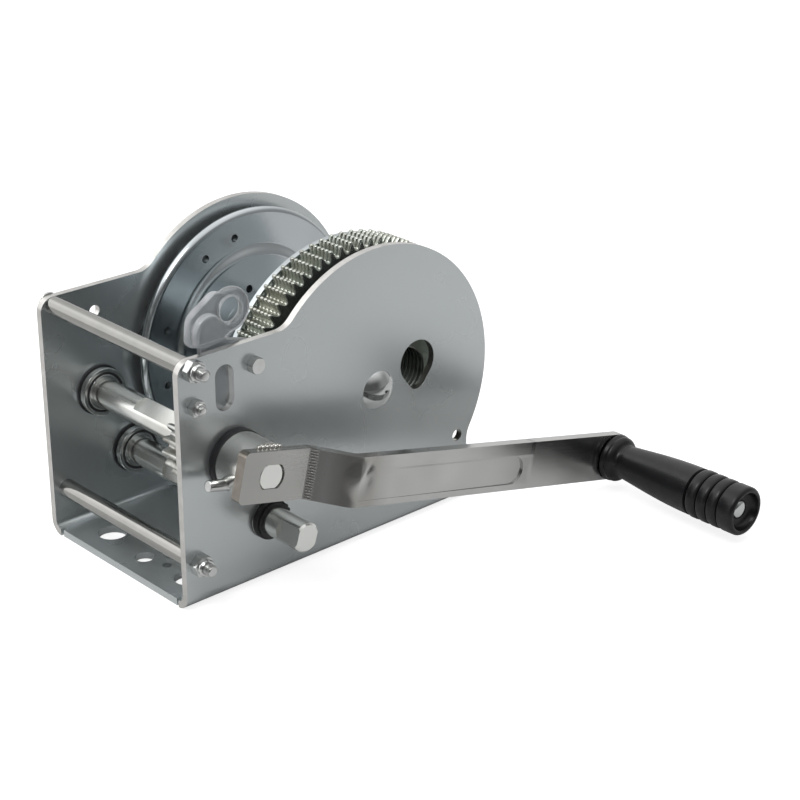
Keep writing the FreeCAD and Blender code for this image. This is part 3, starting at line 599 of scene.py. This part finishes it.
def repeat_tree():
    """Repeats a piece around an axis along Y, in rows along a step."""
    net = Net(bpy.data.node_groups.new("repeat", "GeometryNodeTree"))
    face = net.tree.interface
    face.new_socket("Piece", in_out="INPUT", socket_type="NodeSocketGeometry")
    for name, kind in (("Around", "Int"), ("Rows", "Int"), ("Turn", "Float"),
                       ("Step", "Vector"), ("Centre", "Vector"), ("Finish", "Material")):
        face.new_socket(name, in_out="INPUT", socket_type="NodeSocket" + kind)
    face.new_socket("Result", in_out="OUTPUT", socket_type="NodeSocketGeometry")
    entry = net.tree.nodes.new("NodeGroupInput")
    given = {socket.name: Value(net, socket) for socket in entry.outputs if socket.name}
    index = net.node("GeometryNodeInputIndex")
    row = net.node("ShaderNodeMath", {"operation": "FLOOR"}, (index + 0.5) / given["Around"])
    angle = (index - row * given["Around"]) * given["Turn"]
    euler = net.node("ShaderNodeCombineXYZ", None, 0.0, angle, 0.0)
    turn = net.node("FunctionNodeEulerToRotation", None, euler)
    shift = net.node("ShaderNodeVectorMath", {"operation": "SCALE"}, given["Step"], Scale=row)
    place = net.node("ShaderNodeVectorMath", {"operation": "ADD"}, shift, given["Centre"])
    spots = net.node("GeometryNodePoints", None, Count=given["Around"] * given["Rows"],
                     Position=place)
    back = net.node("ShaderNodeVectorMath", {"operation": "SCALE"}, given["Centre"], Scale=-1.0)
    centred = net.node("GeometryNodeTransform", None, Geometry=given["Piece"], Translation=back)
    copies = net.node("GeometryNodeInstanceOnPoints", None, Points=spots,
                      Instance=centred, Rotation=turn)
    real = net.node("GeometryNodeRealizeInstances", None, copies)
    coated = net.node("GeometryNodeSetMaterial", None, Geometry=real,
                      Material=given["Finish"])
    leave = net.tree.nodes.new("NodeGroupOutput")
    net.tree.links.new(coated.socket, leave.inputs[0])
    return net.tree


repeat = repeat_tree()


def grown(mesh, group, **sizes):
    """The mesh after a node group, whose inputs are set by their names."""
    settings = {"node_group": group}
    for item in group.interface.items_tree:
        if item.in_out == "INPUT" and item.name in sizes:
            settings[item.identifier] = sizes[item.name]
    return applied(mesh, ("NODES", settings))


def repeated(mesh, finish, around=1, rows=1, step=(0, 0, 0), centre=(0, 0, 0)):
    """The mesh repeated around an axis and in rows, as one plain mesh."""
    return grown(mesh, repeat, Around=around, Rows=rows, Turn=2 * math.pi / around,
                 Step=step, Centre=centre, Finish=finish)


sheet_names = ["gear_sheet_%d" % (i + 1) for i in range(6)]
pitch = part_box("gear_sheet_2")[0].y - low.y
light_ring = 33 * mm
light_radius = 14 * mm
rim = toothed(drum_x, drum_z, gear_teeth, gear_turn, 1.05, crest=0.5 * mm)
holes = [circle(drum_x, drum_z, 10.1 * mm)]
for i in range(4):
    middle = polar(drum_x, drum_z, light_ring, math.radians(-6 + 90 * i))
    holes.append(circle(*middle, light_radius, 64))
one_sheet = plate_of("gear_sheet", [rim, *holes], low.y, high.y, 0.95 * mm)
stack = repeated(one_sheet, gear_zinc.material, rows=len(sheet_names), step=(0, pitch, 0))
keep("ring_gear_sheets", stack, gear_zinc.material, *sheet_names)

# Rivets: four steel rivets hold the sheets to the near flange; their heads
# are low domes on both faces.
low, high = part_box("gear_rivets")
x, z = polar(drum_x, drum_z, 50 * mm, math.radians(39))
head = 5 * mm
rise = 1.5 * mm
shank = 3 * mm
profile = [(0, low.y), *arc(0, low.y, head, rise, (25, 50, 75, 90)), (shank, low.y + rise),
           (shank, high.y - rise), *arc(0, high.y, head, -rise, (90, 75, 50, 25)), (0, high.y)]
rivet = turned("rivet", x, z, profile, 40)
rivet.shade_smooth()
four = repeated(rivet, wheel_steel, around=4, centre=(drum_x, 0, drum_z))
keep("gear_rivets_four", four, wheel_steel, "gear_rivets")

# Axle: a bolt with a polished domed head on the crank side and a square neck
# in the plate; a hexagon nut holds it behind the far plate.
chrome = Finish("polished_dome", Metallic=1.0)
haze = chrome.noise(300, 3)
chrome.set(Base_Color=chrome.mix(haze, (0.50, 0.51, 0.51), (0.60, 0.61, 0.61)),
           Roughness=chrome.spread(haze, 0.3, 0.7, 0.07, 0.14))
bright = zinc("fastener_zinc", (0.58, 0.59, 0.58), (0.72, 0.73, 0.72), 0.16, 160)
keep("drum_axle_bolt", eased(solid_of("drum_axle"), 0.4 * mm), chrome.material, "drum_axle")


def nut_mesh(name, x, z, y, side, across, height, collar=0.0, hole=0.0, turn=0.3, steps=72):
    """A chamfered hexagon from y outwards, with a round collar and a hole."""
    half = across / 2
    shape = bmesh.new()
    rings = []
    crown = half * 1.02
    outer_collar = half - 0.55 * mm
    for i in range(steps):
        a = 2 * math.pi * i / steps
        apart = (a + math.radians(30)) % math.radians(60) - math.radians(30)
        reach = min(half / math.cos(apart), half * 1.135)
        drop = max(0.0, reach - crown) * 0.6
        rows = [(hole, 0.0), (crown, 0.0), (reach, drop), (reach, height - drop),
                (crown, height)]
        if collar:
            rows += [(outer_collar, height), (outer_collar, height + collar * 0.6),
                     (outer_collar - 0.5 * mm, height + collar)]
        top = height + collar
        rows += [(hole, top)] if hole else [(0.0, top)]
        rings.append([shape.verts.new((x + r * math.cos(a + turn), y + side * up,
                                       z + r * math.sin(a + turn))) for r, up in rows])
    count = len(rings[0])
    for i in range(steps):
        this, other = rings[i], rings[(i + 1) % steps]
        for j in range(count):
            shape.faces.new((this[j], this[(j + 1) % count], other[(j + 1) % count], other[j]))
    bmesh.ops.remove_doubles(shape, verts=shape.verts, dist=1e-7)
    bmesh.ops.dissolve_degenerate(shape, dist=1e-7, edges=shape.edges)
    bmesh.ops.recalc_face_normals(shape, faces=shape.faces)
    mesh = bpy.data.meshes.new(name)
    shape.to_mesh(mesh)
    shape.free()
    mesh.shade_smooth()
    mesh.set_sharp_from_angle(angle=math.radians(22))
    return mesh


low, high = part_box("axle_nut")
nut = nut_mesh("axle_nut", drum_x, drum_z, low.y, 1, 19 * mm, high.y - low.y, hole=6.05 * mm)
keep("axle_nut_hexagon", nut, bright, "axle_nut")

# Tie bars: two tubes hold the side plates apart at the open front. A rod with
# a low round head runs through each, and its threaded end is drawn up by a
# lock nut on the crank side.
tube_steel = zinc("tube_steel", (0.30, 0.30, 0.285), (0.36, 0.355, 0.34), 0.14, 60)


def thread_tree():
    """A thread as a ridge that winds up along Y."""
    net = Net(bpy.data.node_groups.new("thread", "GeometryNodeTree"))
    face = net.tree.interface
    face.new_socket("Core", in_out="INPUT", socket_type="NodeSocketGeometry")
    for name, kind in (("Turns", "Float"), ("Radius", "Float"), ("Length", "Float"),
                       ("Ridge", "Float"), ("Start", "Vector")):
        face.new_socket(name, in_out="INPUT", socket_type="NodeSocket" + kind)
    face.new_socket("Result", in_out="OUTPUT", socket_type="NodeSocketGeometry")
    entry = net.tree.nodes.new("NodeGroupInput")
    given = {socket.name: Value(net, socket) for socket in entry.outputs if socket.name}
    curve = net.node("GeometryNodeCurveSpiral", None, Resolution=28,
                     Rotations=given["Turns"], Start_Radius=given["Radius"],
                     End_Radius=given["Radius"], Height=given["Length"])
    ridge = net.node("GeometryNodeCurvePrimitiveCircle", None, Resolution=3,
                     Radius=given["Ridge"])
    wound = net.node("GeometryNodeCurveToMesh", None, Curve=curve, Profile_Curve=ridge,
                     Fill_Caps=True)
    placed = net.node("GeometryNodeTransform", None, Geometry=wound, Translation=given["Start"],
                      Rotation=(math.radians(-90), 0, 0))
    both = net.node("GeometryNodeJoinGeometry", None, placed)
    net.tree.links.new(given["Core"].socket, both.socket.node.inputs[0])
    leave = net.tree.nodes.new("NodeGroupOutput")
    net.tree.links.new(both.socket, leave.inputs[0])
    return net.tree


thread = thread_tree()


def threaded(core, x, z, y0, y1, radius, pitch=0.8 * mm):
    """The core with a thread from y0 to y1, its crests at the radius."""
    ridge = 0.3 * mm
    return grown(core, thread, Turns=(y1 - y0) / pitch, Radius=radius - ridge,
                 Length=y1 - y0, Ridge=ridge, Start=(x, y0, z))


plate_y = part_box("tie_nut_near_top")[1].y
for place in ("top", "bottom"):
    tube, rod = "tie_tube_" + place, "tie_rod_" + place
    nut, head = "tie_nut_near_" + place, "tie_nut_far_" + place
    x, z = axis_of(rod)
    y0, y1 = span_of(rod)
    radius = radius_of(rod)
    core = radius - 0.5 * mm
    thread_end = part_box(nut)[0].y + 0.6 * mm
    profile = [(0, y0), (core - 0.5 * mm, y0), (core, y0 + 0.5 * mm), (core, thread_end),
               (radius, thread_end + 0.5 * mm), (radius, y1 - 0.3 * mm),
               (radius - 0.3 * mm, y1), (0, y1)]
    bar = eased(turned(rod, x, z, profile, 48), 0.1 * mm)
    bar = threaded(bar, x, z, y0 + 0.5 * mm, thread_end, radius)
    keep(rod + "_bar", bar, bright, rod)
    keep(tube + "_pipe", eased(solid_of(tube), 0.4 * mm), tube_steel, tube)
    hexagon = nut_mesh(nut, x, z, plate_y, -1, 10.5 * mm, 5.0 * mm, 2.5 * mm,
                       radius + 0.05 * mm)
    keep(nut + "_hexagon", hexagon, bright, nut)
    keep(head + "_head", eased(solid_of(head), 0.5 * mm, 3), bright, head)

# Pawl and stop bolts: zinc plated hexagon bolts with lock nuts. The pawl turns
# on the first and the second is its lever's stop.


def joined(name, *meshes):
    shape = bmesh.new()
    for mesh in meshes:
        shape.from_mesh(mesh)
    whole = bpy.data.meshes.new(name)
    shape.to_mesh(whole)
    shape.free()
    return whole


head_height = 4.5 * mm
frame_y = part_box("frame")[0].y
stop_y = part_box("stop_bolt")[1].y - head_height
for bolt, nut, face_y, side in (("pawl_bolt", "pawl_nut", frame_y, -1),
                                ("stop_bolt", "stop_nut", stop_y, 1)):
    x, z = axis_of(bolt)
    low, high = span_of(bolt)
    radius = 2.5 * mm
    core = radius - 0.35 * mm
    tip = high if side < 0 else low
    back = -side
    shank_end = tip - back * 3.4 * mm
    profile = [(0, face_y), (radius, face_y), (radius, shank_end - back * 0.3 * mm),
               (core, shank_end), (core, tip - back * 0.4 * mm), (core - 0.4 * mm, tip),
               (0, tip)]
    shank = turned(bolt, x, z, profile, 40)
    a, b = sorted((shank_end, tip - back * 0.3 * mm))
    shank = threaded(eased(shank, 0.1 * mm), x, z, a, b, radius)
    head = nut_mesh(bolt + "_head", x, z, face_y, side, 8 * mm, head_height)
    keep(bolt + "_whole", joined(bolt, shank, head), bright, bolt)
    low, high = span_of(nut)
    start = high if side > 0 else low
    lock = nut_mesh(nut, x, z, start, -side, 8 * mm, 4 * mm, 1.7 * mm, radius + 0.05 * mm)
    keep(nut + "_hexagon", lock, bright, nut)
keep("pawl_plate", eased(solid_of("pawl"), 0.4 * mm), wheel_steel, "pawl")

# Pawl lever: moulded in one piece from grey, slightly clear plastic, with soft
# edges, a raised arch and a finger ring. It is screwed to the pawl's bolt.
lever_plastic = Finish("lever_plastic", Transmission_Weight=0.72, IOR=1.46)
flow = lever_plastic.spread(lever_plastic.noise(40, 2), 0.35, 0.65)
lever_plastic.set(Base_Color=lever_plastic.mix(flow, (0.50, 0.52, 0.54), (0.60, 0.62, 0.64)),
                  Roughness=flow * 0.06 + 0.16,
                  Normal=lever_plastic.bump(flow, 0.10, 0.0003))


def rounded(corners, radius, steps=5):
    """The outline through the corners, each cut to a soft curve."""
    points = []
    spots = [Vector(corner) for corner in corners]
    for i, corner in enumerate(spots):
        back = spots[i - 1] - corner
        ahead = spots[(i + 1) % len(spots)] - corner
        reach = min(radius, 0.45 * back.length, 0.45 * ahead.length)
        start = corner + back.normalized() * reach
        end = corner + ahead.normalized() * reach
        for j in range(steps + 1):
            t = j / steps
            points.append(start * (1 - t) ** 2 + corner * (2 * t * (1 - t)) + end * t ** 2)
    return points


pivot = Vector(axis_of("pawl_bolt"))
lever_y0 = frame_y + 4.3 * mm
lever_y1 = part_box("pawl_lever")[1].y


def lever_piece(corners, y0, y1, radius, ease):
    outline = [pivot + Vector(c) * mm for c in corners]
    return plate_of("lever_piece", [rounded(outline, radius * mm)], y0, y1, ease * mm)


plate = lever_piece([(-22, -23), (-7, -24), (8, -8), (8.5, 6), (3, 11.5), (-9, 15), (-28, 21),
                     (-30, 13), (-25, -5)], lever_y0, lever_y1, 4, 0.8)
body = lever_piece([(-38.2, 17.6), (-26, 14.9), (-12, 17.4), (-7.5, 20.5), (-14, 23.8),
                    (-17.8, 28), (-17.8, 34), (-14.5, 40.5), (-20.3, 42.6), (-36.6, 32.5)],
                   lever_y0 - 2.6 * mm, lever_y1 - 0.2 * mm, 4, 1.5)
arch_foot = [(-35.8, 18.7), (-18.8, 18.7)]
arch_top = [(-27.3 + 8.6 * math.cos(math.radians(t)), 24.7 + 8.6 * math.sin(math.radians(t)))
            for t in range(0, 181, 15)]
arch = lever_piece([*arch_foot, *arch_top], lever_y0 - 6.6 * mm, lever_y0, 1.5, 2.2)
loop_x, loop_z = pivot + Vector((-10.7, 30.8)) * mm
section = circle(9.1 * mm, lever_y0, 2.9 * mm, 12)
loop = turned("finger_ring", loop_x, loop_z, section, 64)
boss_bore, boss_radius = 2.6 * mm, 9 * mm
section = [(boss_bore, lever_y0), (boss_radius, lever_y0), (boss_radius, lever_y1),
           (boss_bore, lever_y1)]
boss = turned("lever_boss", pivot.x, pivot.y, section, 48)
melt = {"mode": "VOXEL", "voxel_size": 0.45 * mm, "use_smooth_shade": True}
moulded = applied(joined("lever", plate, body, arch, loop, boss), ("REMESH", melt),
                  ("SMOOTH", {"factor": 0.5, "iterations": 10}))
keep("pawl_lever_moulding", moulded, lever_plastic.material, "pawl_lever")

# Crank hub: a steel collar welded behind the arm. A black ring lies between it
# and the plate, and a set screw locks it to the shaft.
hub_steel = zinc("hub_steel", (0.68, 0.68, 0.65), (0.78, 0.78, 0.75), 0.16, 60)
ring = eased(solid_of("crank_seal"), 0.6 * mm, 3)
keep("crank_ring", ring, black_rubber_and_painted_shade.material, "crank_seal")
keep("crank_hub_collar", eased(solid_of("crank_hub"), 0.6 * mm), hub_steel, "crank_hub")
keep("set_screw_rod", eased(solid_of("set_screw"), 0.5 * mm, 3), bright, "set_screw")

# Crank arm: flat bar bent to a joggle, its long edges rolled round, with a
# long shallow panel pressed into its face. It is plated, brushed along its
# length and coloured darker towards the hub, with a painted dark reflection
# across the joggle and second bend. Beads of weld join it to the hub.
crank_turn = math.radians(13.7)
hub_x, hub_z = axis_of("upper_shaft")
hub_u = hub_x * math.cos(crank_turn) - hub_z * math.sin(crank_turn)
hub_v = hub_x * math.sin(crank_turn) + hub_z * math.cos(crank_turn)
nickel = Finish("crank_nickel", Metallic=1.0)
u = nickel.along(0, -crank_turn) - hub_u
v = nickel.along(2, -crank_turn) - hub_v
brush = nickel.noise(34, 4, size=(1, 26, 26), turn=-crank_turn)
cloud = nickel.spread(nickel.noise(20, 2, turn=-crank_turn), 0.38, 0.62)
# The arm's colour is made darker towards its hub end.
darker_at_hub = nickel.spread(u, 0.021, 0.029, 1.0, 0.0)
level = nickel.node("ShaderNodeCombineXYZ", None, u - 0.0450, v * 0.8 - 0.001, 0.0)
apart = nickel.node("ShaderNodeVectorMath", {"operation": "LENGTH"}, level, output=1)
dome = nickel.node("ShaderNodeMapRange", soft_step, apart, 0.0, 0.0105, 1.0, 0.0)
pressed = nickel.spread(u, 0.060, 0.078) * nickel.spread(u, 0.170, 0.173, 1.0, 0.0)
ledge = nickel.spread(v, 0.0052, 0.0064) * pressed
hollow = nickel.spread(v, 0.0064, -0.0102) * nickel.spread(v, -0.0102, 0.0064) * pressed
in_band = nickel.spread(u, 0.0225, 0.0232) * nickel.spread(u, 0.0252, 0.0262, 1.0, 0.0)
teeth = nickel.node("ShaderNodeMath", {"operation": "SINE"}, v * 4300 + cloud * 4)
jaw = nickel.spread(teeth, 0.0, 0.6) * in_band
# Painted shade: a dark reflection painted across the joggle and second bend, kept off the dome.
bend_painted_shade = nickel.spread(u, 0.030, 0.036) * nickel.spread(u, 0.052, 0.066, 1.0, 0.0) * (1 - dome)
shade = darker_at_hub * 0.30 + bend_painted_shade * 0.55 + in_band * (1 - jaw) * 0.60
plating = nickel.mix(cloud, (0.50, 0.50, 0.49), (0.58, 0.58, 0.57))
height = dome * 2.6 + ledge * 0.45 - hollow * 1.2 + jaw * 0.30 + brush * 0.012
nickel.set(Base_Color=nickel.mix(shade, plating, (0.26, 0.25, 0.225)),
           Roughness=brush * 0.10 + cloud * 0.04 + darker_at_hub * 0.05 + 0.14,
           Normal=nickel.bump(height, 1.0, 0.001))
heel_steel = zinc("sheared_heel", (0.19, 0.17, 0.145), (0.36, 0.335, 0.30), 0.26, 140)
heel_edge = -16 * mm
arm = eased(solid_of("crank_arm"), 1.2 * mm, 4, sharp=35)
arm.materials.append(nickel.material)
arm.materials.append(heel_steel)
for face in arm.polygons:
    middle = face.center
    u = middle.x * math.cos(crank_turn) - middle.z * math.sin(crank_turn) - hub_u
    if u < heel_edge and abs(face.normal.y) < 0.6:
        face.material_index = 1
keep("crank_arm_bar", arm, nickel.material, "crank_arm")
weld_steel = cut_steel("weld_steel", (0.46, 0.45, 0.42), (0.74, 0.73, 0.70), 0.14)
arm_y = span_of("crank_hub")[0]
bead_radius = 1.2 * mm
bead_pitch = 2.7 * mm
drop = bmesh.new()
bmesh.ops.create_icosphere(drop, subdivisions=2, radius=bead_radius)
bead = bpy.data.meshes.new("bead")
drop.to_mesh(bead)
drop.free()
bead.shade_smooth()
along = Vector((math.cos(crank_turn), 0, -math.sin(crank_turn)))
across = Vector((math.sin(crank_turn), 0, math.cos(crank_turn)))
corner = Vector((hub_x, arm_y - bead_radius / 2, hub_z)) - along * (6.8 * mm)
for name, edge in (("upper_weld", 1), ("lower_weld", -1)):
    line = bead.copy()
    line.transform(Matrix.Translation(corner + across * (edge * 13.9 * mm)))
    weld = repeated(line, weld_steel, rows=6, step=tuple(along * bead_pitch))
    weld.materials.clear()
    weld.materials.append(weld_steel)
    piece = bpy.data.objects.new(name, weld)
    scene.collection.objects.link(piece)
    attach(piece, home["crank_arm"])

# Grip: black plastic turned loose on a steel pin. A disc and a thin neck lie
# next to the arm, rings near the end, and the pin's domed cap in a recess.
grip_plastic = Finish("grip_plastic", Base_Color=(0.008, 0.008, 0.009), Coat_Roughness=0.14,
                      Specular_IOR_Level=0.28)
gloss = grip_plastic.noise(120, 4)
grain = grip_plastic.noise(1800, 2)
grip_plastic.set(Roughness=grip_plastic.spread(gloss, 0.3, 0.7, 0.26, 0.38),
                 Coat_Weight=grip_plastic.spread(gloss, 0.3, 0.7, 0.14, 0.05),
                 Normal=grip_plastic.bump(grain, 0.15, 0.00003))
x, z = axis_of("grip")
tip, start = span_of("grip")
r = 13.6 * mm
bore = 4.2 * mm


def smooth(profile, steps=5):
    """More points on a soft curve through the given ones."""
    result = []
    for i in range(1, len(profile) - 2):
        p0, p1, p2, p3 = (Vector(p) for p in profile[i - 1:i + 3])
        for j in range(steps):
            t = j / steps
            bend = (2 * p0 - 5 * p1 + 4 * p2 - p3) * t * t + (3 * p1 - p0 - 3 * p2 + p3) * t ** 3
            result.append(tuple(0.5 * (2 * p1 + (p2 - p0) * t + bend)))
    return [*result, tuple(profile[-2])]


profile = [(bore, start), (r - 0.7 * mm, start), (r - 0.2 * mm, start - 0.2 * mm),
           (r, start - 0.7 * mm), (r, start - 1.6 * mm), (r - 0.35 * mm, start - 2.1 * mm)]
neck = 9.7 * mm
body = start - 8.5 * mm
hand = start - 61.4 * mm
swell = []
for share in (0.0, 0.08, 0.17, 0.26, 0.38, 0.5, 0.62, 0.74, 0.87, 1.0):
    fullness = math.sin(share * math.pi / 2) ** 1.1
    swell.append((neck + (r - neck) * fullness, body + (hand - body) * share))
profile += smooth([(r - 0.3 * mm, start - 2.0 * mm), (r - 0.7 * mm, start - 3.0 * mm),
                   (r - 0.45 * mm, start - 4.4 * mm), (r - 1.6 * mm, start - 6.3 * mm), *swell,
                   (r, hand - 2 * mm)])
y = hand - 1.0 * mm
top = r + 0.35 * mm
groove = r - 1.7 * mm
soft = 2.1 * mm
ring_pitch = 7.2 * mm
for ring in range(3):
    profile += [(groove, y + 0.15 * mm), *arc(groove, y, top - groove, -soft, (15, 35, 60, 90)),
                *arc(groove, y - ring_pitch, top - groove, soft, (90, 60, 35, 15))]
    y -= ring_pitch
profile += [(groove, y + 0.15 * mm), *arc(groove, y, top - groove, -soft, (15, 35, 60, 90))]
end_round = 2.2 * mm
profile += arc(top - end_round, tip, end_round, end_round, (90, 75, 60, 45, 30, 15, 0))
recess = 10.9 * mm
floor_y = tip + 5.0 * mm
profile += [(recess + 0.6 * mm, tip), (recess + 0.15 * mm, tip + 0.2 * mm),
            (recess, tip + 0.7 * mm), (recess - 0.6 * mm, floor_y - 1.5 * mm),
            (recess - 2.1 * mm, floor_y), (bore, floor_y)]
grip = turned("grip", x, z, profile, 112)
grip.shade_smooth()
grip.set_sharp_from_angle(angle=math.radians(60))
keep("grip_handle", grip, grip_plastic.material, "grip")
tip, back = span_of("grip_pin")
cap = 5.5 * mm
shank = 4.0 * mm
head = 2.0 * mm
profile = [(0, tip), *arc(0, tip, cap, 1.9 * mm, (15, 30, 45, 60, 75, 90)),
           (cap, tip + 2.0 * mm), (shank, tip + 2.0 * mm), (shank, back - head),
           (6.6 * mm, back - head), (7.0 * mm, back - head + 0.5 * mm),
           (6.0 * mm, back - 0.6 * mm), (3.5 * mm, back), (0, back)]
pin = turned("grip_pin", x, z, profile, 64)
pin.shade_smooth()
pin.set_sharp_from_angle(angle=math.radians(40))
keep("grip_pin_rivet", pin, chrome.material, "grip_pin")

# Lower shaft's end: a black collar and a spring clip with two holed ears hold
# the shaft where the crank can be moved to.
for node, name, ease in (("lower_collar", "lower_collar_ring", 0.5 * mm),
                         ("lower_circlip", "lower_circlip_spring", 0.25 * mm)):
    keep(name, eased(solid_of(node), ease), black_rubber_and_painted_shade.material, node)

scene.view_settings.view_transform = "Standard"
